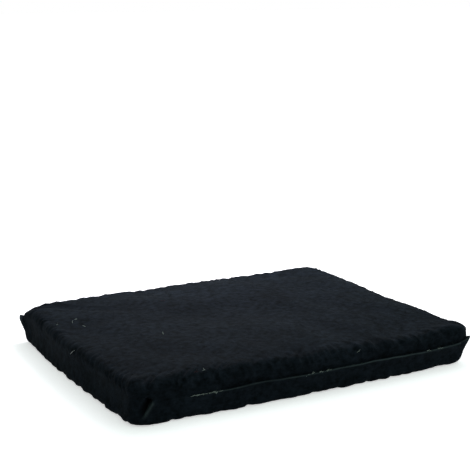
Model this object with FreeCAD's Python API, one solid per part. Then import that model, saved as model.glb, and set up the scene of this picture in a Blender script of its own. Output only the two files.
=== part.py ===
# Activated carbon pad of a cooker hood filter: loose carbon in a sleeve of black needle felt.
# Millimetres, z up, lying on its flat underside. The sleeve is a tube that runs unbroken over the
# two short sides. Along the long sides it is closed at half height, where the lower cloth laps
# outside the upper one, and the ends of that seam stand out at the corners as pointed ears.

import math
import os

import FreeCAD
import Part
from FreeCAD import Vector

pad_width = 250.0        # across the middles of the short sides
pad_depth = 196.0        # across the middles of the long sides
pad_height = 30.0        # at the middle of the top
side_bow = 2.5           # how far the middle of a side stands out from its ends
corner_radius = 10.0
lower_round = 5.0        # of the edge between the underside and the sides
upper_round = 7.5        # of the shoulder between the sides and the top
crown = 2.6              # how far the middle of the top lies above the shoulders
crown_border = 11.0      # from the sides to where the top starts to rise
crown_reach = 62.0       # from the sides to where it is level

seam_height = 15.0
lap = 2.0                # how far the edge of the lower cloth stands out
lap_taper = 5.0          # height below that edge where it starts to stand out
lap_gap = 1.6            # how far the upper cloth falls back behind it
lap_drop = 1.0           # of the slit's root below the edge
lap_fade = 70.0          # along the front, from its left corner, until the lap is whole
crease = 0.15            # height of the closed seam, where nothing laps

front_right_ear = (6.0, -1.5)    # how far each tip stands out from its rounded corner
back_right_ear = (4.0, 6.0)
back_left_ear = (-4.0, 9.0)
ear_base = 15.0          # along the outline, to either side of the tip

gather_pitch = 9.5       # along the sides, from one fold of the cloth to the next
lower_gather = 0.65      # how far a fold stands in and out at the lower edge
lower_lift = 1.1         # how far it lifts that edge off the ground
upper_gather = 0.8       # how far a fold stands in and out at the shoulder
arc_columns = 6          # of the net on each rounded corner
crown_columns = 4        # of the crown's own net on each of its corners

tuck_low = (8.0, 8.0)    # from the front left corner and the floor: ends of the folded-in ear's slit
tuck_high = (19.0, 18.0)
tuck_width = 3.4
tuck_depth = 2.6
tuck_end = 0.4           # width and depth that the slit keeps at its ends

arc_length = corner_radius * math.pi / 2
shoulder_height = pad_height - crown


def side_length(corner):
    # between the rounded ends of the side that follows a corner, counted from the front left one
    return (pad_width if corner % 2 == 0 else pad_depth) - 2 * (side_bow + corner_radius)


def make_columns():
    # corner, share of its arc and share of the side that follows it, round the outline
    columns = []
    for corner in range(4):
        columns += [(corner, step / arc_columns, 0.0) for step in range(arc_columns)]
        count = 2 * round(side_length(corner) / gather_pitch)
        columns += [(corner, 1.0, step / count) for step in range(count)]
    return columns


def corner_centre(corner, inset):
    across = max(0.0, pad_width / 2 - side_bow - corner_radius - inset)
    back = max(0.0, pad_depth / 2 - side_bow - corner_radius - inset)
    return Vector(across if corner in (1, 2) else -across, back if corner in (2, 3) else -back, 0)


def outward(column):
    turn = math.radians(180 + 90 * (column[0] + column[1]))
    return Vector(math.cos(turn), math.sin(turn), 0)


def outline_point(column, height, inset, out):
    corner, arc, side = column
    start = corner_centre(corner, inset)
    end = corner_centre((corner + 1) % 4, inset)
    bow = side_bow * (1 - (2 * side - 1) ** 2) if arc == 1.0 else 0.0
    return start + (end - start) * side + outward(column) * (corner_radius + bow + out) + Vector(0, 0, height)


def distance_to_tip(column, tip):
    # along the outline, on the tip's own corner and the sides beside it
    corner, arc, side = column
    if corner == tip:
        return abs(arc - 0.5) * arc_length + side * side_length(corner)
    if (corner + 1) % 4 == tip:
        return (1 - side) * side_length(corner) + arc_length / 2
    return pad_width


def ear_pull(column, share):
    # how the ears draw a point of the net outwards, where share is its ring's own part in them
    pull = Vector(0, 0, 0)
    for tip, ear in ((1, front_right_ear), (2, back_right_ear), (3, back_left_ear)):
        near = max(0.0, 1 - distance_to_tip(column, tip) / ear_base)
        pull += Vector(ear[0], ear[1], 0) * near * share
    return pull


def lap_share(column):
    # nothing on the short sides, whole along the back, fading towards the front left corner
    corner, arc, side = column
    if arc < 1.0:
        return (0.0, 1 - arc, arc, 1 - arc)[corner]
    return (min(1.0, side * side_length(corner) / lap_fade), 0.0, 1.0, 0.0)[corner]


def fold(index):
    # in and out from column to column, where each fold has its own size
    size = 0.62 + 0.38 * math.sin(2.4 * index + 5.1 * math.sin(0.37 * index))
    return size * math.cos(math.pi * index)


def lower_cloth(index, share):
    # height, inset, outward fold and part in the ears, from the underside to the seam's edge
    lift = lower_lift * max(0.0, fold(index))
    out = lower_gather * fold(index)
    return [
        (0.0, 1.7 * lower_round, 0.0, 0.0),
        (0.3 * lift, 0.75 * lower_round, 0.3 * out, 0.0),
        (0.15 * lower_round + lift, 0.25 * lower_round, out, 0.1),
        (0.6 * lower_round + lift, 0.0, out, 0.25),
        (seam_height - lap_taper, 0.0, 0.3 * out, 0.65),
        (seam_height, 0.0, lap * share, 1.0),
    ]


def upper_cloth(index, share):
    # the same from the seam's root, over the shoulder, to where the top is level
    rings = [
        (seam_height + crease - share * (crease + lap_drop), 0.0, -lap_gap * share, 0.9),
        (seam_height + 2.2, 0.0, -0.7 * lap_gap * share, 0.4),
    ]
    for step in range(5):
        turn = math.radians(22.5 * step)
        rings.append((shoulder_height - upper_round * (1 - math.sin(turn)), upper_round * (1 - math.cos(turn)),
                      upper_gather * fold(index), 0.0))
    return rings + [(shoulder_height, crown_border - 1, 0.0, 0.0)]


def loft_rings(rings):
    return Part.makeLoft([Part.makePolygon(list(points) + [points[0]]) for points in rings], True, True)


def make_block():
    net = []
    for index, column in enumerate(make_columns()):
        share = lap_share(column)
        rings = lower_cloth(index, share) + upper_cloth(index, share)
        net.append([outline_point(column, height, inset, out) + ear_pull(column, ear)
                    for height, inset, out, ear in rings])
    return loft_rings(zip(*net))


def make_crown():
    # low rise of the top, from a coarser net than the gathered cloth round it
    columns = [(corner, step / (crown_columns - 1), 0.0) for corner in range(4) for step in range(crown_columns)]
    rings = [(shoulder_height - crown, crown_border - 1), (shoulder_height, crown_border),
             (shoulder_height + 0.7 * crown, 0.6 * crown_border + 0.4 * crown_reach), (pad_height, crown_reach)]
    return loft_rings([[outline_point(column, height, inset, 0) for column in columns] for height, inset in rings])


def make_tuck():
    # slit beside the front left ear, which is folded in under the front
    low = Vector(-pad_width / 2 + tuck_low[0], 0, tuck_low[1])
    high = Vector(-pad_width / 2 + tuck_high[0], 0, tuck_high[1])
    run = (high - low).normalize()
    across = Vector(run.z, 0, -run.x)
    front = -pad_depth / 2 + side_bow * 0.7
    sections = []
    for place, width, depth in ((low, tuck_end, tuck_end), ((low + high) * 0.5, tuck_width, tuck_depth),
                                (high, tuck_end, tuck_end)):
        left = place - across * width / 2 + Vector(0, front - 4, 0)
        right = place + across * width / 2 + Vector(0, front - 4, 0)
        root = place + Vector(0, front + depth, 0)
        sections.append(Part.makePolygon([left, right, root, left]))
    return Part.makeLoft(sections, True, True)


def make_pad():
    pad = make_block().fuse(make_crown()).cut(make_tuck())
    box = pad.optimalBoundingBox()
    pad.translate(Vector(-box.Center.x, -box.Center.y, -box.ZMin))
    return pad


os.makedirs("parts", exist_ok=True)
make_pad().exportStep("parts/filter_pad.step")
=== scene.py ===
# Activated carbon pad of a cooker hood filter: loose carbon sewn into a sleeve of black needle felt.
# Metres, in the frame of the CAD solids. The pad's own sizes are given in millimetres; those of its
# standing fibres, the lights and the camera are metres.

import math
from collections import namedtuple

import bmesh
import bpy
import numpy as np
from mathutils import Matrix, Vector, kdtree, noise


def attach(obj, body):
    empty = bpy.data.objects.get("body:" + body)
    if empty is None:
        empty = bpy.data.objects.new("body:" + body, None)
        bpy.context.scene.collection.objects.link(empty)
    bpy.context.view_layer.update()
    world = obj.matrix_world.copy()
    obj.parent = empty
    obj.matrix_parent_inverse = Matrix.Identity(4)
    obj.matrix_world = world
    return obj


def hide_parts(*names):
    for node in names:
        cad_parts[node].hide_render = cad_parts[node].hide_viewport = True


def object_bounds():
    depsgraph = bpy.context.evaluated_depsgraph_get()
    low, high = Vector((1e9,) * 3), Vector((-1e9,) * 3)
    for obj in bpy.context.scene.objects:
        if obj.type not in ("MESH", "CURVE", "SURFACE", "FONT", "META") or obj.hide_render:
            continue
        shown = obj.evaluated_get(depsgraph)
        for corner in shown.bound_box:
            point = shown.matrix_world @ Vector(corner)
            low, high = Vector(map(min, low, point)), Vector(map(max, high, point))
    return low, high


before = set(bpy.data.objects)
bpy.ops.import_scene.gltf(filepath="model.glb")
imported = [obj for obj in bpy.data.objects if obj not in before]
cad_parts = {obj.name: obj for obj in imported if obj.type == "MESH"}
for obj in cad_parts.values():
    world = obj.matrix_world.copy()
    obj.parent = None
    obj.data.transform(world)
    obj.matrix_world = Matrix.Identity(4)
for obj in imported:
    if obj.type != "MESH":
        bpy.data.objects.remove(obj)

cadLow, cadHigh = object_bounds()
mm = 0.001
scene = bpy.context.scene

felt = {
    "width": 250.0,          # across the middles of the short sides
    "depth": 196.0,          # across the middles of the long sides
    "height": 28.5,          # at the middle of the top, before the carbon's pressure lifts it
    "bow": 2.5,              # how far each side stands out between its corners
    "cornerRadius": 8.5,
    "lowerRound": 4.0,
    "upperRound": 5.2,
    "squareReach": 35.0,     # the upper cloth is square to the right: over this length of the long sides
    "backSquare": 0.3,       # and at the back by this share only
    "rightHollow": 1.7,      # and its right side is hollow between the corners
    "rightSink": 1.0,        # and a little lower there
    "cornerRise": (1.8, 60.0),   # its front right corner stands up: by how much, and how far around
    "cornerFall": (2.2, 10.0),   # and its back left corner falls towards the ear
    "upperSpan": (-1.0, 4.0),    # heights from the seam: where the upper cloth's own outline comes in
    "riseSpan": (0.0, 10.0),     # and the rise and fall of its corners
    "crown": 1.8,            # how far the middle of the top lies above the shoulders
    "crownReach": 60.0,
    "innerInset": 66.0,      # where the rings start to close towards the middle line
    "boxOffset": (0.45, 1.37),   # of the box's middle from the block's, as the ears are unlike
    "columnGap": 0.95,       # between the columns of the mesh
    "fineGap": 0.65,         # the same beside the two front corners
    "fineReach": 34.0,
    "ringStep": 0.85,        # between its rings, up the sides
}

seam = {
    "height": 15.0,
    "wander": 0.7,           # how far it strays up and down
    "lap": 2.0,              # how far the lower cloth's edge stands out
    "taper": 8.0,            # how far below its edge the lower cloth is flush again
    "thickness": 1.0,        # of the felt, seen at the cut edge
    "gapDepth": 1.0,         # of the slit behind the edge
    "behind": 0.75,          # how far the upper cloth falls back behind it
    "fallBack": 3.0,         # height over which it comes out again
    "leftFade": (16.0, 75.0),   # from the front left corner: where the lap starts, and where it is whole
    "growth": 0.35,          # by which lap and slit grow towards the front right corner
    "growthSpan": (0.55, 0.95),  # shares of the width between which they do
    "cornerFade": (2.0, 10.0),   # past a corner: where the lap starts to fade, and where it is gone
    "cutBand": (-0.7, 0.75),     # heights from the seam between which the rings follow the cut edge
    "wanderCell": (42.0, 10.0),  # cells of the noise: along the side and up it
    "wanderSeed": 5,
    "paleCell": (6.0, 10.0),
    "paleSeed": 31,
    "paleness": (0.75, 0.25),    # of the cut edge, its own paler fibres with a painted highlight where the upturned rim catches the light: on average, and how far it varies
    "dimPlace": (90.0, 60.0, 0.45),  # it is dimmer this far from the left, over this reach, by this share
}

ears = {
    "reach": [None, (5.0, -0.6), (3.0, 5.5), (-1.6, 6.4)],   # of each tip from its corner
    "lift": [0.0, 3.0, 1.0, 4.0],
    "base": 15.0,
    "below": 14.0,           # an ear starts this far below the seam
    "above": 6.0,            # and this far above it
    "upperShare": [0.0, 0.55, 0.2, 0.85],    # the upper cloth's own part in it
    "upperReach": 15.0,
}

pocket = {
    "low": (2.8, 5.5),       # ends of the folded-in ear's slit: from the front left corner, and height
    "high": (10.5, 16.5),
    "lip": 1.6,              # how far the cloth right of it stands out
    "sink": 2.2,             # and how far the cloth left of it falls in
    "lipWidth": 5.0,
    "sinkWidth": 8.0,
    "hole": 9.0,             # the hole behind the slit, at its upper end
    "holeWidth": 6.2,
    "undercut": 0.85,        # of the hole's depth, by which it runs to the right behind the slit
    "holeLeast": 0.25,       # of that depth, left at its lower end
    "paleWidth": 3.4,        # of the paler strip on the cloth right of it: the cut edge's colour, partly a painted highlight where the lip stands out
    "paleShare": 0.9,
    "endFades": (4.0, 2.0),  # lengths over which it opens from its lower and from its upper end
    "lowest": 2.0,           # height under which nothing of it shows
}

gathers = {
    "lowerCell": (4.75, 9.0),    # cells of the noise: along the side and up it
    "lowerFineCell": (2.375, 4.0),
    "lowerFineShare": 0.4,
    "lowerSeeds": (11, 12, 13),
    "lowerDepth": 0.9,
    "lowerShares": (0.9, 0.5, 0.7, 0.95),    # of that depth on the front, right, back and left
    "lowerLift": 0.8,        # how far the lower edge leaves the ground between two of them
    "lowerRise": 6.0,        # how far up the side they show
    "lowerInset": (4.0, 8.0),    # on the underside: where they start to fade, and where they are gone
    "liftInset": (1.5, 6.5),
    "foldCell": (4.4, 9.0),      # the folds of the shoulder, along the side and across them
    "broadCell": (10.56, 14.0),
    "ridgeCell": (2.8, 5.0),     # finer ones about the front left corner
    "shoulderSeeds": (21, 22, 23),
    "sharpness": 2.2,        # of the folds' and ridges' valleys
    "shoulderDepth": 1.15,
    "foldShare": 0.85,       # of that depth
    "broadShare": 0.4,
    "ridgeShare": 0.45,
    "ridgeReach": (13.5, 58.5),  # from the front left corner: where the ridges start to fade, and are gone
    "shoulderDrop": 0.4,     # share of the upper rounding: how far under the shoulder they are deepest
    "insetShare": 0.75,      # of the way in over the top that counts as way across the shoulder
    "shoulderReach": 6.5,    # how far they show to either side of it
    "shoulderLean": 3.5,     # millimetres along the side that they lean over that reach
    "shoulderShares": (1.0, 0.35, 0.6, 0.55),
    "cornerShare": 1.3,      # and near the front left corner
    "cornerReach": 40.0,
    "arcShare": 0.8,         # of both kinds' depth round the corners
    "blend": 8,              # columns to each side over which the shares of two sides blend
    "lumpPitch": 24.0,       # of the granules' own unevenness
    "lumpDepth": 0.55,
    "lumpFlatness": 1.5,     # how much sooner they change upwards
    "fineLumps": (2.3, 0.5), # finer ones: how much finer, and their share of the depth
    "lumpRise": (1.0, 13.0), # heights between which it comes in
}

inflation = {
    "columnGap": 4.0,        # of the coarse block that becomes the cloth
    "ringStep": 3.0,
    "voxel": 4.5,
    "shrunkBy": 0.4,         # the cloth starts this much smaller than the block
    "excess": 0.01,          # share by which the cloth is larger than that block
    "pressure": 0.1,         # low, as the carbon is only packed loosely
    "stiffness": 40.0,
    "bending": 0.3,
    "damping": 15.0,
    "weight": 0.3,
    "quality": 5,
    "frames": 20,
    "cap": 2.4,              # farthest that a point may move
    "seamBand": 3.0,         # half height of the band that the seam's stitches hold
    "seamDepth": 6.0,        # and how far in from a long side it reaches
    "groundBand": 2.5,       # height under which the ground holds the cloth
    "reach": 9.0,            # over which the movement is averaged
    "neighbours": 24,
    "least": 1e-9,           # keeps a division from nought
    "sideRise": (1.0, 7.0),  # heights between which the sideways movement comes in
    "liftRise": (12.0, 24.0),    # and the upward one
}


def smooth(value):
    value = np.clip(value, 0, 1)
    return value * value * (3 - 2 * value)


def ramp(value, span):
    # from 0 at the start of the span to 1 at its end
    return np.clip((value - span[0]) / (span[1] - span[0]), 0, 1)


class Outline:
    # the columns of the skin round the outline seen from above. Corners are counted from the front left
    # one, by way of the front right one, and each is followed by the side of its number: 0 is the front.

    signs = np.array([[-1, -1], [1, -1], [1, 1], [-1, 1]], float)    # of each corner's x and y

    def __init__(self, gap, fineGap):
        corner, share, isArc = [], [], []
        for index in range(4):
            front, longSide = index < 2, index % 2 == 0
            arcCount = int(math.pi / 2 * felt["cornerRadius"] / (fineGap if front else gap))
            corner += [index] * arcCount
            share += [step / arcCount for step in range(arcCount)]
            isArc += [True] * arcCount
            length = self.sideLength(index)
            places = [0.0]
            while places[-1] < length / 2 - gap:
                fine = longSide and places[-1] < felt["fineReach"]
                places.append(places[-1] + (fineGap if fine else gap))
            places += [length - place for place in reversed(places[1:])]
            corner += [index] * len(places)
            share += [place / length for place in places]
            isArc += [False] * len(places)
        self.corner = np.array(corner)
        self.share = np.array(share)
        self.isArc = np.array(isArc)
        turn = math.pi * (1 + self.corner / 2) + np.where(self.isArc, self.share, 1.0) * math.pi / 2
        self.out = np.stack([np.cos(turn), np.sin(turn)], 1)
        ring = self.ring(0.0)
        steps = np.linalg.norm(np.roll(ring, -1, 0) - ring, axis=1)
        self.around = steps.sum()
        self.along = np.concatenate([[0.0], np.cumsum(steps)[:-1]])
        halfArc = felt["cornerRadius"] * math.pi / 4
        self.tips = [self.along[(self.corner == i) & self.isArc].min() + halfArc for i in range(4)]
        self.count = len(corner)

    def sideLength(self, index):
        return (felt["width"] if index % 2 == 0 else felt["depth"]) - 2 * (felt["bow"] + felt["cornerRadius"])

    def reach(self, inset):
        half = np.array([felt["width"], felt["depth"]]) / 2
        return np.maximum(half - felt["bow"] - felt["cornerRadius"] - inset, 0)

    def ring(self, inset):
        start = self.signs[self.corner] * self.reach(inset)
        end = self.signs[(self.corner + 1) % 4] * self.reach(inset)
        share = np.where(self.isArc, 0, self.share)[:, None]
        bow = np.where(self.isArc, 0, felt["bow"] * (1 - (2 * self.share - 1) ** 2))[:, None]
        return start + (end - start) * share + self.out * (felt["cornerRadius"] + bow)

    def middleLine(self):
        half = (felt["width"] - felt["depth"]) / 2
        start = self.signs[self.corner][:, 0] * half
        end = self.signs[(self.corner + 1) % 4][:, 0] * half
        x = start + (end - start) * np.where(self.isArc, 0, self.share)
        return np.stack([x, np.zeros(len(x))], 1)

    def fromTip(self, index):
        gap = np.abs(self.along - self.tips[index])
        return np.minimum(gap, self.around - gap)

    def side(self, index):
        return (self.corner == index) & ~self.isArc


# a ring of the skin: its height and inset, its share of the way to the middle line, and how far a whole
# lap moves it out and up
Ring = namedtuple("Ring", "height inset inward out up", defaults=(0.0, 0.0, 0.0))


def profile(step):
    # the rings from the middle of the underside to the middle of the top
    closing = (1.0, 0.97, 0.85, 0.65, 0.45, 0.25, 0.1)
    groundInsets = (66, 52, 40, 30, 22, 16, 12, 9.5, 8, 6.8, 5.8)
    topInsets = (7.3, 8.2, 9.3, 10.6, 12.2, 14, 16, 18.5, 21.5, 25, 29, 34, 40, 48, 57, 66)
    low, high = felt["lowerRound"], felt["upperRound"]
    shoulder = felt["height"] - felt["crown"] - high
    cutStart, cutEnd = (seam["height"] + rise for rise in seam["cutBand"])

    rings = [Ring(0.0, felt["innerInset"], inward) for inward in closing]
    rings += [Ring(0.0, inset) for inset in groundInsets]
    for turn in np.radians(np.linspace(0, 90, 10)):
        rings.append(Ring(low * (1 - math.cos(turn)), low * (1 - math.sin(turn))))
    for level in np.arange(low + step, cutStart, step):
        lap = seam["lap"] * smooth(1 - (seam["height"] - level) / seam["taper"])
        rings.append(Ring(level, 0.0, out=lap))

    # the cut edge and the slit behind it: height from the seam, and how far out and up each ring moves
    lap, thick, deep, back = seam["lap"], seam["thickness"], seam["gapDepth"], seam["behind"]
    edge = [(-0.55, lap, -0.2), (-0.42, lap + 0.1, 0.0), (-0.30, lap + 0.05, 0.3), (-0.20, lap - 0.25, 0.5),
            (-0.10, lap - thick / 2, 0.52), (0.0, lap - thick + 0.2, 0.4), (0.10, lap - thick, 0.1),
            (0.20, lap - thick - 0.15, -0.6), (0.30, lap - thick - 0.2, -deep), (0.42, -back, -deep),
            (0.55, -back, -deep / 2)]
    rings += [Ring(seam["height"] + rise, 0.0, out=out, up=up) for rise, out, up in edge]

    upper = [Ring(level, 0.0) for level in np.arange(cutEnd, shoulder, step)]
    for turn in np.radians(np.linspace(0, 90, 13)):
        upper.append(Ring(shoulder + high * math.sin(turn), high * (1 - math.cos(turn))))
    for ring in upper:
        fall = back * math.exp((cutEnd - ring.height) / seam["fallBack"])
        rings.append(ring._replace(out=-fall))
    for inset in topInsets:
        share = min(1.0, (inset - high) / felt["crownReach"])
        rings.append(Ring(felt["height"] - felt["crown"] * (1 - share) ** 2, inset))
    rings += [Ring(felt["height"], felt["innerInset"], inward) for inward in reversed(closing)]
    return rings


def ringNoise(outline, along, up, cell, seed):
    # smooth noise from -1 to 1 on a sheet that closes on itself; along, up and cell are in millimetres
    rows, firstRow = 64, 20      # of the table; the start keeps the rows of every height above nought
    columns = max(3, int(round(outline.around / cell[0])))
    table = np.random.RandomState(seed).uniform(-1, 1, (columns, rows))
    u = along / outline.around * columns
    v = up / cell[1] + firstRow
    u0, v0 = np.floor(u).astype(int), np.floor(v).astype(int)
    fu, fv = smooth(u - u0), smooth(v - v0)
    a, b = table[u0 % columns, v0 % rows], table[(u0 + 1) % columns, v0 % rows]
    c, d = table[u0 % columns, (v0 + 1) % rows], table[(u0 + 1) % columns, (v0 + 1) % rows]
    return (a * (1 - fu) + b * fu) * (1 - fv) + (c * (1 - fu) + d * fu) * fv


def lapShares(outline):
    # whole along the back, growing along the front from nothing at its left, and none on the short sides
    share = np.zeros(outline.count)
    fromLeft = outline.along - outline.tips[0]
    front, back = outline.side(0), outline.side(2)
    grown = 1 + seam["growth"] * smooth(ramp(fromLeft / felt["width"], seam["growthSpan"]))
    share[front] = (smooth(ramp(fromLeft, seam["leftFade"])) * grown)[front]
    share[back] = 1.0
    for index in (1, 2, 3):
        bend = ~outline.side(0 if index == 1 else 2)
        fade = smooth(1 - ramp(outline.fromTip(index), seam["cornerFade"]))
        share[bend] = np.maximum(share, fade)[bend]
    return share


def rightEnd(outline):
    # how far each column of the upper cloth moves to the right, and up, as its right side is hollow
    toRight = outline.tips[1] - outline.along
    pastRight = outline.along - outline.tips[2]
    square = smooth(1 - np.where(toRight > 0, toRight, pastRight) / felt["squareReach"])
    square[outline.corner == 3] = 0
    square[outline.corner == 2] *= felt["backSquare"]
    right = outline.side(1)
    fromMiddle = np.abs(2 * outline.share[right] - 1)
    middle = smooth(1 - fromMiddle)
    square[right] = fromMiddle ** 2 * np.where(outline.share[right] < 0.5, 1.0, felt["backSquare"])
    square *= felt["bow"]
    square[right] -= felt["rightHollow"] * middle
    height, reach = felt["cornerRise"]
    rise = height * smooth(1 - outline.fromTip(1) / reach)
    height, reach = felt["cornerFall"]
    rise -= height * smooth(1 - outline.fromTip(3) / reach)
    rise[right] -= felt["rightSink"] * middle
    return square, rise


def basePoints(outline, rings):
    # the plain block, as rings x columns x 3, in millimetres about its own middle
    points = np.zeros((len(rings), outline.count, 3))
    square, rise = rightEnd(outline)
    for place, ring in zip(points, rings):
        flat = outline.ring(ring.inset)
        fromSeam = ring.height - seam["height"]
        upper = smooth(ramp(fromSeam, felt["upperSpan"])) * max(0.0, 1 - ring.inset / felt["innerInset"])
        flat[:, 0] += square * upper
        place[:, :2] = flat + (outline.middleLine() - flat) * ring.inward
        place[:, 2] = ring.height + rise * upper * smooth(ramp(fromSeam, felt["riseSpan"]))
    return points


def gatherShares(outline, name):
    # the gathers' share of their depth at each column, blended from side to side
    share = np.where(outline.isArc, gathers["arcShare"], np.array(gathers[name])[outline.corner])
    blend = gathers["blend"]
    window = np.ones(2 * blend + 1) / (2 * blend + 1)
    return np.convolve(np.concatenate([share[-blend:], share, share[:blend]]), window, "valid")


def lowerGathers(outline, height, inset):
    # how the gathers of the lower edge move a ring out, at full depth, and how far they lift it
    waveSeed, fineSeed, archSeed = gathers["lowerSeeds"]
    wave = ringNoise(outline, outline.along, height, gathers["lowerCell"], waveSeed)
    fine = ringNoise(outline, outline.along, height, gathers["lowerFineCell"], fineSeed)
    low = math.exp(-(height / gathers["lowerRise"]) ** 2) * smooth(1 - ramp(inset, gathers["lowerInset"]))
    arch = np.clip(ringNoise(outline, outline.along, 0.0, gathers["lowerCell"], archSeed), 0, 1)
    lifted = smooth(1 - ramp(inset, gathers["liftInset"])) * smooth(1 - height / (2 * gathers["lowerRise"]))
    return low * (wave + gathers["lowerFineShare"] * fine), gathers["lowerLift"] * lifted * arch


def shoulderGathers(outline, height, inset):
    # how the gathers of the shoulder move a ring of the upper cloth, at full depth: sharp-backed folds
    # over broad ones, with finer ridges near the front left corner
    foldSeed, broadSeed, ridgeSeed = gathers["shoulderSeeds"]
    shoulder = felt["height"] - felt["crown"] - gathers["shoulderDrop"] * felt["upperRound"]
    across = height - shoulder - gathers["insetShare"] * inset
    strength = math.exp(-(across / gathers["shoulderReach"]) ** 2)
    if across < 0:
        strength *= strength     # they end sooner on the side than on the top
    along = outline.along + gathers["shoulderLean"] * across / gathers["shoulderReach"]
    folds = ringNoise(outline, along, across, gathers["foldCell"], foldSeed)
    broad = ringNoise(outline, along, across, gathers["broadCell"], broadSeed)
    ridges = ringNoise(outline, along, across, gathers["ridgeCell"], ridgeSeed)
    folds, ridges = (1 - gathers["sharpness"] * np.abs(waves) for waves in (folds, ridges))
    nearCorner = smooth(1 - ramp(outline.fromTip(0), gathers["ridgeReach"]))
    return strength * (gathers["foldShare"] * folds + gathers["broadShare"] * broad
                       + gathers["ridgeShare"] * nearCorner * ridges)


def pocketShape(fromLeft, height):
    # the folded-in ear's slit: how far a ring's points move out and along the side, and how pale they are,
    # the paler strip on the lip being partly a painted highlight where it stands out
    low, high = np.array(pocket["low"]), np.array(pocket["high"])
    length = np.linalg.norm(high - low)
    run = (high - low) / length
    place = np.stack([fromLeft, np.full(len(fromLeft), height)], 1) - low
    onLine = place @ run
    across = place[:, 0] * run[1] - place[:, 1] * run[0]
    right, left = across > 0, across <= 0
    lowerFade, upperFade = pocket["endFades"]
    ends = smooth(onLine / lowerFade) * smooth((length - onLine) / upperFade)
    lip = pocket["lip"] * right * smooth(1 - across / pocket["lipWidth"])
    sink = pocket["sink"] * left * smooth(1 + across / pocket["sinkWidth"])
    hole = pocket["hole"] * left * smooth(1 + across / pocket["holeWidth"])
    hole *= pocket["holeLeast"] + (1 - pocket["holeLeast"]) * np.clip(onLine / length, 0, 1)
    # the lip's paler strip: cut-edge colour, partly a painted highlight where the lip stands out into the
    # light
    pale = pocket["paleShare"] * right * smooth(1 - across / pocket["paleWidth"])
    return (lip - sink - hole) * ends, pocket["undercut"] * hole * ends, pale * ends


def pullEars(outline, place, near, fromSeam, inset):
    # draws a ring's points out to the three pointed ears, the upper cloth's by a share of its own
    for index in (1, 2, 3):
        upper = max(0.0, ears["upperShare"][index] * (1 - fromSeam / ears["upperReach"]))
        upper *= max(0.0, 1 - inset / (2 * ears["upperReach"]))
        part = near if fromSeam < 0 else max(near, upper)
        peak = np.maximum(0, 1 - outline.fromTip(index) / ears["base"])
        place[:, :2] += (peak * part)[:, None] * np.array(ears["reach"][index])
        place[:, 2] += (peak * near) ** 2 * ears["lift"][index]


def granuleLumps(points):
    # the carbon's own unevenness under the cloth, in two sizes
    finer, fineShare = gathers["fineLumps"]
    elsewhere = 7.0              # level of the noise that gives the finer ones
    places = (points / gathers["lumpPitch"]).reshape(-1, 3)
    lump = [noise.noise((x, y, gathers["lumpFlatness"] * z))
            + fineShare * noise.noise((finer * x, finer * y, elsewhere)) for x, y, z in places]
    return gathers["lumpDepth"] * np.array(lump).reshape(points.shape[:2])


def dressPoints(outline, rings, points):
    # adds the laps, gathers, pocket, ears and the granules' lumps, and returns how pale each point is: the
    # cut edge's paler fibres with a painted highlight on the upturned rim and on the pocket's lip
    pale = np.zeros(points.shape[:2])
    lapShare = lapShares(outline)
    stray = seam["wander"] * ringNoise(outline, outline.along, 0.0, seam["wanderCell"], seam["wanderSeed"])
    lowerDepth = gathers["lowerDepth"] * gatherShares(outline, "lowerShares")
    nearCorner = smooth(1 - outline.fromTip(0) / gathers["cornerReach"])
    shoulderDepth = gathers["shoulderDepth"] * (1 + (gathers["cornerShare"] - 1) * nearCorner)
    shoulderDepth *= gatherShares(outline, "shoulderShares")
    fromLeft = outline.along - outline.tips[0]
    fromLeft[fromLeft > outline.around / 2] -= outline.around
    mean, swing = seam["paleness"]
    dimmest, reach, loss = seam["dimPlace"]
    paleness = mean + swing * ringNoise(outline, outline.along, 0.0, seam["paleCell"], seam["paleSeed"])
    paleness *= 1 - loss * smooth(1 - np.abs(fromLeft - dimmest) / reach)
    sideways = np.stack([-outline.out[:, 1], outline.out[:, 0]], 1)

    for place, paler, ring in zip(points, pale, rings):
        height, inset = ring.height, ring.inset
        fromSeam = height - seam["height"]
        near = max(0.0, 1 + fromSeam / ears["below"] if fromSeam < 0 else 1 - fromSeam / ears["above"])
        onSide = height > 0 and inset < felt["lowerRound"]
        gathered, lifted = lowerGathers(outline, height, inset)
        out = ring.out * lapShare + lowerDepth * gathered
        up = ring.up * lapShare + stray * near ** 2 * onSide + lifted
        if fromSeam > 0:
            depth = shoulderDepth * shoulderGathers(outline, height, inset)
            level = min(1.0, inset / felt["upperRound"])
            out += depth * (1 - level)
            up += depth * level
        if height > pocket["lowest"]:
            opened, slipped, strip = pocketShape(fromLeft, height)
            out += opened
            place[:, :2] += sideways * slipped[:, None]
            # the lip's paler strip, partly a painted highlight
            paler += strip
        place[:, :2] += outline.out * out[:, None]
        place[:, 2] += up
        pullEars(outline, place, near, fromSeam, inset)
        # the upturned cut edge is coloured paler: its own lighter fibres, and a painted highlight where it
        # catches the light from above
        if ring.up > 0:
            paler += np.clip(lapShare, 0, 1) * paleness

    points[:, :, 2] += granuleLumps(points) * ramp(points[:, :, 2], gathers["lumpRise"])
    points[:, :, 2] = np.maximum(points[:, :, 2], 0)
    return pale


def blockMiddle():
    middle = (cadLow + cadHigh) / 2
    return Vector((middle.x - felt["boxOffset"][0] * mm, middle.y - felt["boxOffset"][1] * mm, cadLow.z))


def linkPiece(name, mesh):
    piece = bpy.data.objects.new(name, mesh)
    scene.collection.objects.link(piece)
    return piece


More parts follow.
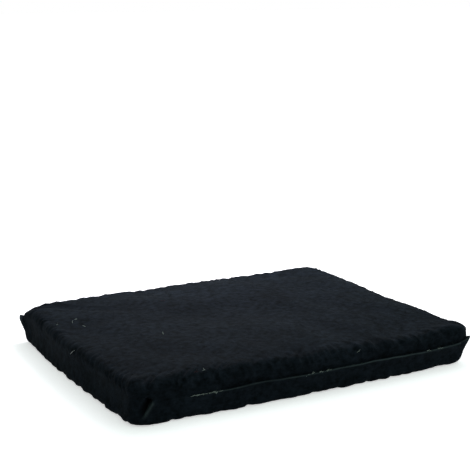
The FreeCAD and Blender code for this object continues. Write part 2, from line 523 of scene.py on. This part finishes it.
def meshFromGrid(name, points, middle, pale=None):
    # a closed skin from rings x columns of points, whose first and last ring close on the middle line
    merged, shortest = 0.02, 0.005       # millimetres
    rows, columns = points.shape[:2]
    mesh = bpy.data.meshes.new(name)
    places = points.reshape(-1, 3) * mm + np.array(middle)
    faces = []
    for row in range(rows - 1):
        for column in range(columns):
            following = (column + 1) % columns
            faces.append((row * columns + column, row * columns + following,
                          (row + 1) * columns + following, (row + 1) * columns + column))
    mesh.from_pydata(places.tolist(), [], faces)
    if pale is not None:
        # how pale each point is: the cut edge's own fibres, and a painted highlight on the rim and the
        # pocket's lip
        mesh.attributes.new("cutEdgeAndHighlight", "FLOAT", "POINT").data.foreach_set("value", pale.reshape(-1))
    build = bmesh.new()
    build.from_mesh(mesh)
    bmesh.ops.remove_doubles(build, verts=build.verts, dist=merged * mm)
    bmesh.ops.dissolve_degenerate(build, dist=shortest * mm, edges=build.edges)
    bmesh.ops.recalc_face_normals(build, faces=build.faces)
    build.to_mesh(mesh)
    build.free()
    mesh.shade_smooth()
    return linkPiece(name, mesh)


def meshPlaces(mesh):
    places = np.zeros(len(mesh.vertices) * 3)
    mesh.vertices.foreach_get("co", places)
    return places.reshape(-1, 3)


def shrink(points):
    # about the middle of the underside
    reach = np.array([felt["width"] / 2, felt["depth"] / 2, felt["height"]])
    return points * (1 - inflation["shrunkBy"] / reach)


def inflate(middle):
    # cloth under the carbon's pressure, held along the seam and the ground: where it goes from the block
    outline = Outline(inflation["columnGap"], inflation["columnGap"])
    points = basePoints(outline, profile(inflation["ringStep"]))
    cloth = meshFromGrid("cloth", shrink(points), middle)
    remesh = cloth.modifiers.new("remesh", "REMESH")
    remesh.mode = "VOXEL"
    remesh.voxel_size = inflation["voxel"] * mm
    plain = bpy.data.meshes.new_from_object(cloth.evaluated_get(bpy.context.evaluated_depsgraph_get()))
    cloth.modifiers.clear()
    cloth.data = plain
    rest = meshPlaces(plain)
    local = (rest - np.array(middle)) / mm
    onLong = np.abs(local[:, 1]) > felt["depth"] / 2 - inflation["seamDepth"]
    held = (np.abs(local[:, 2] - seam["height"]) < inflation["seamBand"]) & onLong
    held |= local[:, 2] < inflation["groundBand"]
    group = cloth.vertex_groups.new(name="held")
    group.add([int(i) for i in np.nonzero(held)[0]], 1.0, "REPLACE")
    modifier = cloth.modifiers.new("cloth", "CLOTH")
    settings = modifier.settings
    settings.quality = inflation["quality"]
    settings.mass = inflation["weight"]
    settings.tension_stiffness = settings.compression_stiffness = inflation["stiffness"]
    settings.tension_damping = settings.compression_damping = inflation["damping"]
    settings.bending_stiffness = inflation["bending"]
    settings.use_pressure = True
    settings.uniform_pressure_force = inflation["pressure"]
    settings.shrink_min = -inflation["excess"]
    settings.effector_weights.gravity = 0
    settings.vertex_group_mass = "held"
    modifier.collision_settings.use_collision = False
    modifier.point_cache.frame_end = inflation["frames"]
    for number in range(1, inflation["frames"] + 1):
        scene.frame_set(number)
    final = cloth.evaluated_get(bpy.context.evaluated_depsgraph_get()).to_mesh()
    moved = (meshPlaces(final) - rest) / mm
    scene.frame_set(1)
    bpy.data.objects.remove(cloth)
    size = np.linalg.norm(moved, axis=1, keepdims=True)
    moved *= np.minimum(1, inflation["cap"] / np.maximum(size, inflation["least"]))
    print("simulated", len(rest), "points, mean move", round(float(size.mean()), 2), "mm, most",
          round(float(size.max()), 2))
    return local, moved


def carryOver(points, local, moved):
    # moves the skin's points as the nearest points of the simulated cloth moved
    tree = kdtree.KDTree(len(local))
    for index, place in enumerate(local):
        tree.insert(place, index)
    tree.balance()
    flat = points.reshape(-1, 3)
    steps = np.zeros_like(flat)
    for number, place in enumerate(flat):
        found = tree.find_n(place, inflation["neighbours"])
        distances = np.array([distance for _, _, distance in found])
        weights = np.exp(-(distances / inflation["reach"]) ** 2) + inflation["least"]
        steps[number] = weights @ moved[[index for _, index, _ in found]] / weights.sum()
    steps[:, :2] *= ramp(flat[:, 2:3], inflation["sideRise"])
    steps[:, 2] *= ramp(flat[:, 2], inflation["liftRise"])
    points += steps.reshape(points.shape)


def linear(hexColour):
    channels = [int(hexColour[i:i + 2], 16) / 255 for i in (0, 2, 4)]
    return [c / 12.92 if c <= 0.04045 else ((c + 0.055) / 1.055) ** 2.4 for c in channels] + [1.0]


def addNode(tree, kind, settings=None, inputs=None, links=None):
    # adds a node, sets its properties and its inputs' values, and links its inputs to other outputs
    node = tree.nodes.new(kind)
    for name, value in (settings or {}).items():
        setattr(node, name, value)
    for name, value in (inputs or {}).items():
        node.inputs[name].default_value = value
    for name, output in (links or {}).items():
        tree.links.new(output, node.inputs[name])
    return node


def newMaterial(name):
    material = bpy.data.materials.new(name)
    material.use_nodes = True
    material.node_tree.nodes.clear()
    return material, material.node_tree


nap = {
    "fibreSpacing": 1.25,    # millimetres; the real fibres are too fine to show, so they are drawn coarser
    "tuftSpacing": 4.17,
    "cloudSpacing": 33.3,
    "stretch": (0.4, 1.0, 1.0),  # the fibres lie along the width
    "fibreShare": 0.6,
    "bumpDepth": 0.7,
    "dark": (0.55, "04080a"),    # level of the pattern, and its colour
    "light": (1.0, "191f26"),
    # the cut edge's colour: its paler fibres, with a painted highlight where the rim and the pocket's lip
    # catch the light
    "cutEdgeAndHighlight": "363f41",
    "sheen": "aebccc",
    "standing": "101418",    # of the fibres that stand up from it
}


def needleFelt():
    # polyester fibres needled into a mat: no gloss, a faint nap that pales at a grazing view
    material, tree = newMaterial("blackNeedleFelt")
    place = addNode(tree, "ShaderNodeTexCoord").outputs["Object"]
    stretched = addNode(tree, "ShaderNodeMapping", inputs={"Scale": nap["stretch"]}, links={"Vector": place})
    fibres = addNode(tree, "ShaderNodeTexNoise",
                     inputs={"Scale": 1000 / nap["fibreSpacing"], "Detail": 3.0, "Roughness": 0.65},
                     links={"Vector": stretched.outputs[0]})
    tufts = addNode(tree, "ShaderNodeTexNoise",
                    inputs={"Scale": 1000 / nap["tuftSpacing"], "Detail": 3.0, "Roughness": 0.6},
                    links={"Vector": place})
    clouds = addNode(tree, "ShaderNodeTexNoise",
                     inputs={"Scale": 1000 / nap["cloudSpacing"], "Detail": 3.0},
                     links={"Vector": place})
    both = addNode(tree, "ShaderNodeMath", {"operation": "MULTIPLY_ADD"}, {1: nap["fibreShare"]},
                   {0: fibres.outputs["Fac"], 2: tufts.outputs["Fac"]})
    shades = addNode(tree, "ShaderNodeValToRGB", links={"Fac": both.outputs[0]})
    for element, (position, colour) in zip(shades.color_ramp.elements, (nap["dark"], nap["light"])):
        element.position = position
        element.color = linear(colour)
    tone = addNode(tree, "ShaderNodeMapRange",
                   inputs={"From Min": 0.3, "From Max": 0.7, "To Min": 0.8, "To Max": 1.2},
                   links={"Value": clouds.outputs["Fac"]})
    colour = addNode(tree, "ShaderNodeMix", {"data_type": "RGBA", "blend_type": "MULTIPLY"}, {0: 1.0},
                     {6: shades.outputs["Color"], 7: tone.outputs[0]})
    # paler where the cut edge lies: its own lighter fibres, and a painted highlight on the upturned rim and
    # the pocket's lip
    cutEdgeAndLit = addNode(tree, "ShaderNodeAttribute", {"attribute_name": "cutEdgeAndHighlight"})
    paler = addNode(tree, "ShaderNodeMix", {"data_type": "RGBA"}, {7: linear(nap["cutEdgeAndHighlight"])},
                    {0: cutEdgeAndLit.outputs["Fac"], 6: colour.outputs[2]})
    bump = addNode(tree, "ShaderNodeBump", inputs={"Strength": 0.55, "Distance": nap["bumpDepth"] * mm},
                   links={"Height": both.outputs[0]})
    shader = addNode(tree, "ShaderNodeBsdfPrincipled",
                     inputs={"Roughness": 0.95, "Specular IOR Level": 0.04, "Sheen Weight": 0.012,
                             "Sheen Roughness": 0.5, "Sheen Tint": linear(nap["sheen"])},
                     links={"Base Color": paler.outputs[2], "Normal": bump.outputs["Normal"]})
    addNode(tree, "ShaderNodeOutputMaterial", links={"Surface": shader.outputs[0]})
    return material


def plainFibre(name, colour):
    # one dull fibre: no gloss
    material, tree = newMaterial(name)
    shader = addNode(tree, "ShaderNodeBsdfPrincipled",
                     inputs={"Base Color": linear(colour), "Roughness": 0.9, "Specular IOR Level": 0.1})
    addNode(tree, "ShaderNodeOutputMaterial", links={"Surface": shader.outputs[0]})
    return material


# inputs of the node group that grows the standing fibres
fuzz = {
    "Density": 75000.0,      # fibres to the square metre
    "Length": 0.0024,
    "Radius": 0.00005,
    "Lowest": 0.003,         # none grow below this height
    "Seed": 7,
}


def standingFibres(material):
    # node group: bent fibres that rise a little from the surface, except on the underside
    lowestFacing = -0.4      # of the surface: one that looks down more than this stays bare
    leastLean, mostLean = 1.0, 1.45      # radians from the surface's own direction
    shortest, longest = 0.5, 1.3         # shares of the length
    tree = bpy.data.node_groups.new("standingFibres", "GeometryNodeTree")
    tree.interface.new_socket(name="Geometry", in_out="INPUT", socket_type="NodeSocketGeometry")
    tree.interface.new_socket(name="Geometry", in_out="OUTPUT", socket_type="NodeSocketGeometry")
    identifiers = {}
    for name, value in fuzz.items():
        kind = "NodeSocketInt" if isinstance(value, int) else "NodeSocketFloat"
        identifiers[name] = tree.interface.new_socket(name=name, in_out="INPUT", socket_type=kind).identifier
    given = addNode(tree, "NodeGroupInput").outputs
    normal = addNode(tree, "GeometryNodeInputNormal")
    parts = addNode(tree, "ShaderNodeSeparateXYZ", links={0: normal.outputs[0]})
    facing = addNode(tree, "ShaderNodeMath", {"operation": "GREATER_THAN"}, {1: lowestFacing},
                     {0: parts.outputs[2]})
    level = addNode(tree, "ShaderNodeSeparateXYZ",
                    links={0: addNode(tree, "GeometryNodeInputPosition").outputs[0]})
    above = addNode(tree, "ShaderNodeMath", {"operation": "GREATER_THAN"},
                    links={0: level.outputs[2], 1: given["Lowest"]})
    chosen = addNode(tree, "ShaderNodeMath", {"operation": "MULTIPLY"},
                     links={0: facing.outputs[0], 1: above.outputs[0]})
    spread = addNode(tree, "GeometryNodeDistributePointsOnFaces",
                     links={"Mesh": given["Geometry"], "Density": given["Density"], "Seed": given["Seed"],
                            "Selection": chosen.outputs[0]})
    root, bow, tip = (0, 0, -0.05), (0, 0, 0.6), (0.4, 0, 1)     # of a fibre of length 1
    bend = addNode(tree, "GeometryNodeCurveQuadraticBezier",
                   inputs={"Resolution": 3, "Start": root, "Middle": bow, "End": tip})
    thin = addNode(tree, "ShaderNodeMath", {"operation": "DIVIDE"},
                   links={0: given["Radius"], 1: given["Length"]})
    ring = addNode(tree, "GeometryNodeCurvePrimitiveCircle", inputs={"Resolution": 3},
                   links={"Radius": thin.outputs[0]})
    fibre = addNode(tree, "GeometryNodeCurveToMesh",
                    links={"Curve": bend.outputs[0], "Profile Curve": ring.outputs[0]})
    lean = addNode(tree, "FunctionNodeRandomValue", {"data_type": "FLOAT_VECTOR"},
                   {0: (leastLean, 0, 0), 1: (mostLean, 0, math.tau)}, {"Seed": given["Seed"]})
    turn = addNode(tree, "FunctionNodeEulerToRotation", links={0: lean.outputs[0]})
    aimed = addNode(tree, "FunctionNodeRotateRotation", {"rotation_space": "LOCAL"},
                    links={0: spread.outputs["Rotation"], 1: turn.outputs[0]})
    vary = addNode(tree, "FunctionNodeRandomValue", {"data_type": "FLOAT"}, {2: shortest, 3: longest},
                   {"Seed": given["Seed"]})
    size = addNode(tree, "ShaderNodeMath", {"operation": "MULTIPLY"},
                   links={0: vary.outputs[1], 1: given["Length"]})
    planted = addNode(tree, "GeometryNodeInstanceOnPoints",
                      links={"Points": spread.outputs["Points"], "Instance": fibre.outputs[0],
                             "Rotation": aimed.outputs[0], "Scale": size.outputs[0]})
    real = addNode(tree, "GeometryNodeRealizeInstances", links={0: planted.outputs[0]})
    done = addNode(tree, "GeometryNodeSetMaterial", inputs={"Material": material}, links={0: real.outputs[0]})
    addNode(tree, "NodeGroupOutput", links={0: done.outputs[0]})
    return tree, identifiers


def addFuzz(pad, material):
    # grows the fibres on a copy of the pad and keeps them as a mesh of their own
    piece = linkPiece("feltFuzz", pad.data.copy())
    modifier = piece.modifiers.new("fuzz", "NODES")
    modifier.node_group, identifiers = standingFibres(material)
    for name, value in fuzz.items():
        modifier[identifiers[name]] = value
    plain = bpy.data.meshes.new_from_object(piece.evaluated_get(bpy.context.evaluated_depsgraph_get()))
    piece.modifiers.clear()
    piece.data = plain
    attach(piece, "root")
    print("fuzz", len(plain.polygons), "faces")


frays = {
    "clusters": [(-86.0, -66.0, 40), (-6.0, -2.0, 7), (1.5, 9.0, 12), (87.0, 89.5, 4), (97.0, 100.5, 7)],
    "spread": (-80.0, 121.0, 60),        # both along the cut edge, from x to x, and how many
    "colours": ("8f9892", "343c3a"),     # of the clusters, and of the others in the felt's own tone
    "radii": (0.12, 0.06),
    "rise": (0.25, 0.5),
    "riseShares": (-0.6, 1.0),           # least and most of that rise
    "wander": (0.14, 0.35),
    "forward": -0.3,         # how far each heads out to the front, for a step along the edge
    "length": 2.4,
    "lengthShares": (0.4, 1.2),
    "steps": 6,
    "seed": 31,
}

lint = {
    "places": [(-118.0, 35.9, 27.8), (-107.6, 35.3, 29.2), (-103.0, 39.5, 29.2), (-102.7, 26.1, 28.8),
               (-68.0, -23.3, 29.4), (-73.4, -92.0, 26.3), (32.9, -97.3, 23.2)],
    "red": [(-36.4, 45.8, 30.0), (-80.0, -91.9, 27.4), (-35.0, 44.0, 30.0)],
    "redColour": "3c242a",
    "strands": 4,            # in each place
    "length": 1.9,
    "lengthShares": (0.4, 1.1),
    "radius": 0.11,
    "wander": 0.35,
    "flatness": 0.15,        # share of a heading's rise that is left
    "lift": 0.2,             # above the felt
}

thread = {
    "points": [(-125.3, -7.2, 20.5), (-125.2, -8.4, 21.6), (-125.0, -10.8, 23.4), (-124.2, -12.3, 24.6)],
    "lift": (-0.5, 0.0, 0.2),    # off the felt
    "radius": 0.22,
    "colour": "b9bdbb",
}


def strandMesh(name, lines, radius, middle, material):
    # thin three-sided tubes that taper at both ends, along lines of points in millimetres
    sides, endShare = 3, 0.3
    slant = (0.31, 0.52, 0.79)       # no fibre runs this way, so it serves to turn each tube's corners
    places, faces = [], []
    for line in lines:
        start = len(places)
        final = len(line) - 1
        for number, place in enumerate(line):
            ahead = line[min(number + 1, final)] - line[max(number - 1, 0)]
            ahead = ahead / np.linalg.norm(ahead)
            side = np.cross(ahead, slant)
            side = side / np.linalg.norm(side)
            other = np.cross(ahead, side)
            wide = radius * (endShare if number in (0, final) else 1.0)
            for corner in range(sides):
                turn = math.tau * corner / sides
                places.append(place + wide * (math.cos(turn) * side + math.sin(turn) * other))
        for root in range(start, start + sides * final, sides):
            for corner in range(sides):
                low, after = root + corner, root + (corner + 1) % sides
                faces.append((low, after, after + sides, low + sides))
        faces.append(tuple(reversed(range(start, start + sides))))
        faces.append(tuple(range(len(places) - sides, len(places))))
    mesh = bpy.data.meshes.new(name)
    mesh.from_pydata((np.array(places) * mm + np.array(middle)).tolist(), [], faces)
    mesh.shade_smooth()
    mesh.materials.append(material)
    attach(linkPiece(name, mesh), "root")


def curl(random, start, heading, length, wander):
    # one loose fibre from its root: it wanders from its heading
    line = [np.array(start, float)]
    heading = np.array(heading, float)
    for _ in range(frays["steps"]):
        heading = heading + random.normal(0, wander, 3)
        heading = heading / np.linalg.norm(heading)
        line.append(line[-1] + heading * length / frays["steps"])
    return line


def frayEdge(random, outline, rings, points):
    # frays of the cut edge along the front seam: the pale ones that stand in clusters, and the others
    crest = max(range(len(rings)), key=lambda number: rings[number].up)
    front = points[crest][outline.side(0)]
    pale, own = [], []
    groups = [(cluster, 0, pale) for cluster in frays["clusters"]] + [(frays["spread"], 1, own)]
    for (low, high, count), kind, lines in groups:
        for _ in range(count):
            root = front[np.argmin(np.abs(front[:, 0] - random.uniform(low, high)))]
            side = random.choice((-1.0, 1.0))
            rise = frays["rise"][kind] * random.uniform(*frays["riseShares"])
            length = frays["length"] * random.uniform(*frays["lengthShares"])
            lines.append(curl(random, root, (side, frays["forward"], rise), length, frays["wander"][kind]))
    return pale, own


def catchLint(random, pad, middle, places):
    # tangles of a few short fibres each, lying on the felt
    lines = []
    for place in places:
        _, at, normal, _ = pad.closest_point_on_mesh(Vector(place) * mm + middle)
        root = (np.array(at) - np.array(middle)) / mm + lint["lift"] * np.array(normal)
        for _ in range(lint["strands"]):
            heading = random.normal(0, 1, 3) * (1, 1, lint["flatness"])
            length = lint["length"] * random.uniform(*lint["lengthShares"])
            lines.append(curl(random, root, heading, length, lint["wander"]))
    return lines


def looseFibres(pad, outline, rings, points, middle):
    # the frays, the lint, and a thread caught on the left shoulder
    random = np.random.RandomState(frays["seed"])
    bpy.context.view_layer.update()
    pale, own = frayEdge(random, outline, rings, points)
    pale += catchLint(random, pad, middle, lint["places"])
    red = catchLint(random, pad, middle, lint["red"])
    caught = [np.array(point) + thread["lift"] for point in thread["points"]]
    paleColour, ownColour = frays["colours"]
    paleRadius, ownRadius = frays["radii"]
    strandMesh("paleFrays", pale, paleRadius, middle, plainFibre("paleFrayedFibre", paleColour))
    strandMesh("edgeFrays", own, ownRadius, middle, plainFibre("frayedFelt", ownColour))
    strandMesh("redLint", red, lint["radius"], middle, plainFibre("redLint", lint["redColour"]))
    strandMesh("whiteThread", [caught], thread["radius"], middle, plainFibre("whiteThread", thread["colour"]))
    print("loose fibres", len(pale), "pale", len(own), "dark", len(red), "red")


light = {
    "floorReach": 8.0,
    "floorTone": 0.5,        # as the pad's light meets it
    "floorSeen": 0.97,       # as the camera does, with a glow that keeps it white
    "floorGlow": 0.55,
    "fill": (0.84, 1.0, 0.94, 1.0),
    "fillLevel": 0.5,
    "fillSide": (0.55, -0.22, 0.0),  # it is stronger from the right, and a little from the front
    "lamps": (1.0, 0.92, 1.03),
    "sunEnergy": 0.76,
    "sunAngle": 50.0,        # degrees across: a large soft lamp
    "sunFrom": (0.5, 0.55, 1.0),
    "stripEnergy": 0.6,
    "stripSize": (0.16, 0.08),
    "stripPlace": (0.05, 0.18, 0.21),
    "stripFrom": (0.1, 0.5, 1.0),
}


def grey(level):
    return (level, level, level, 1.0)


def layFloor():
    # pale floor, white where the camera sees it
    mesh = bpy.data.meshes.new("floor")
    reach = light["floorReach"]
    corners = [(-reach, -reach, 0), (reach, -reach, 0), (reach, reach, 0), (-reach, reach, 0)]
    mesh.from_pydata(corners, [], [(0, 1, 2, 3)])
    floor = linkPiece("floor", mesh)
    material, tree = newMaterial("paleFloor")
    path = addNode(tree, "ShaderNodeLightPath")
    seen = addNode(tree, "ShaderNodeMath", {"operation": "MAXIMUM"},
                   links={0: path.outputs["Is Camera Ray"], 1: path.outputs["Is Glossy Ray"]})
    dim = addNode(tree, "ShaderNodeBsdfDiffuse", inputs={"Color": grey(light["floorTone"])})
    pale = addNode(tree, "ShaderNodeBsdfDiffuse", inputs={"Color": grey(light["floorSeen"])})
    glow = addNode(tree, "ShaderNodeEmission", inputs={"Color": grey(1.0), "Strength": light["floorGlow"]})
    white = addNode(tree, "ShaderNodeAddShader", links={0: pale.outputs[0], 1: glow.outputs[0]})
    both = addNode(tree, "ShaderNodeMixShader",
                   links={0: seen.outputs[0], 1: dim.outputs[0], 2: white.outputs[0]})
    addNode(tree, "ShaderNodeOutputMaterial", links={"Surface": both.outputs[0]})
    mesh.materials.append(material)


def fillWorld():
    # soft light from all round, and white behind everything
    world = bpy.data.worlds.new("studio")
    scene.world = world
    world.use_nodes = True
    tree = world.node_tree
    tree.nodes.clear()
    path = addNode(tree, "ShaderNodeLightPath")
    towards = addNode(tree, "ShaderNodeTexCoord")
    side = addNode(tree, "ShaderNodeVectorMath", {"operation": "DOT_PRODUCT"}, {1: light["fillSide"]},
                   {0: towards.outputs["Generated"]})
    level = addNode(tree, "ShaderNodeMath", {"operation": "MULTIPLY_ADD"},
                    {1: light["fillLevel"], 2: light["fillLevel"]}, {0: side.outputs["Value"]})
    fill = addNode(tree, "ShaderNodeBackground", inputs={"Color": light["fill"]},
                   links={"Strength": level.outputs[0]})
    white = addNode(tree, "ShaderNodeBackground", inputs={"Color": grey(1.0), "Strength": 1.0})
    both = addNode(tree, "ShaderNodeMixShader",
                   links={0: path.outputs["Is Camera Ray"], 1: fill.outputs[0], 2: white.outputs[0]})
    addNode(tree, "ShaderNodeOutputWorld", links={"Surface": both.outputs[0]})


def hangLamp(name, kind, energy, comesFrom):
    lamp = bpy.data.lights.new(name, kind)
    lamp.energy = energy
    lamp.color = light["lamps"]
    hung = bpy.data.objects.new(name, lamp)
    hung.rotation_euler = Vector(comesFrom).to_track_quat("Z", "Y").to_euler()
    scene.collection.objects.link(hung)
    return hung


def hangLamps():
    # a soft lamp from above the back right, and a strip close over the back
    sun = hangLamp("overhead", "SUN", light["sunEnergy"], light["sunFrom"])
    sun.data.angle = math.radians(light["sunAngle"])
    strip = hangLamp("strip", "AREA", light["stripEnergy"], light["stripFrom"])
    strip.data.shape = "RECTANGLE"
    strip.data.size, strip.data.size_y = light["stripSize"]
    strip.location = light["stripPlace"]
    strip.visible_camera = False


cameraPlace = {
    "azimuth": -29.06,       # degrees; 0 looks along +Y
    "elevation": 12.48,
    "distance": 1.1059,      # metres, from the point looked at
    "target": (0.1534, 0.2803, 0.0125),   # from the block's middle: the object lies low in the picture
    "focalPixels": 1146.3,
    "imagePixels": 470.0,
    "sensor": 36.0,
    "farthest": 50.0,
}


def addCamera(middle):
    turn = math.radians(cameraPlace["azimuth"])
    tilt = math.radians(cameraPlace["elevation"])
    back = Vector((math.sin(turn) * math.cos(tilt), -math.cos(turn) * math.cos(tilt), math.sin(tilt)))
    data = bpy.data.cameras.new("camera")
    data.sensor_width = cameraPlace["sensor"]
    data.lens = cameraPlace["focalPixels"] / cameraPlace["imagePixels"] * cameraPlace["sensor"]
    data.clip_end = cameraPlace["farthest"]
    camera = bpy.data.objects.new("camera", data)
    camera.location = Vector(cameraPlace["target"]) + middle + back * cameraPlace["distance"]
    camera.rotation_euler = back.to_track_quat("Z", "Y").to_euler()
    scene.collection.objects.link(camera)
    scene.camera = camera


scene.view_settings.view_transform = "Standard"
middle = blockMiddle()
outline = Outline(felt["columnGap"], felt["fineGap"])
rings = profile(felt["ringStep"])
print("skin", len(rings), "rings", outline.count, "columns")
points = basePoints(outline, rings)
points = shrink(points)
carryOver(points, *inflate(middle))
pale = dressPoints(outline, rings, points)
pad = meshFromGrid("feltPad", points, middle, pale)
print("pad", len(pad.data.polygons), "faces")
pad.data.materials.append(needleFelt())
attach(pad, "root")
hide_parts("filter_pad")
addFuzz(pad, plainFibre("standingFelt", nap["standing"]))
looseFibres(pad, outline, rings, points, middle)
layFloor()
fillWorld()
hangLamps()
addCamera(middle)
print("studio and camera in place")
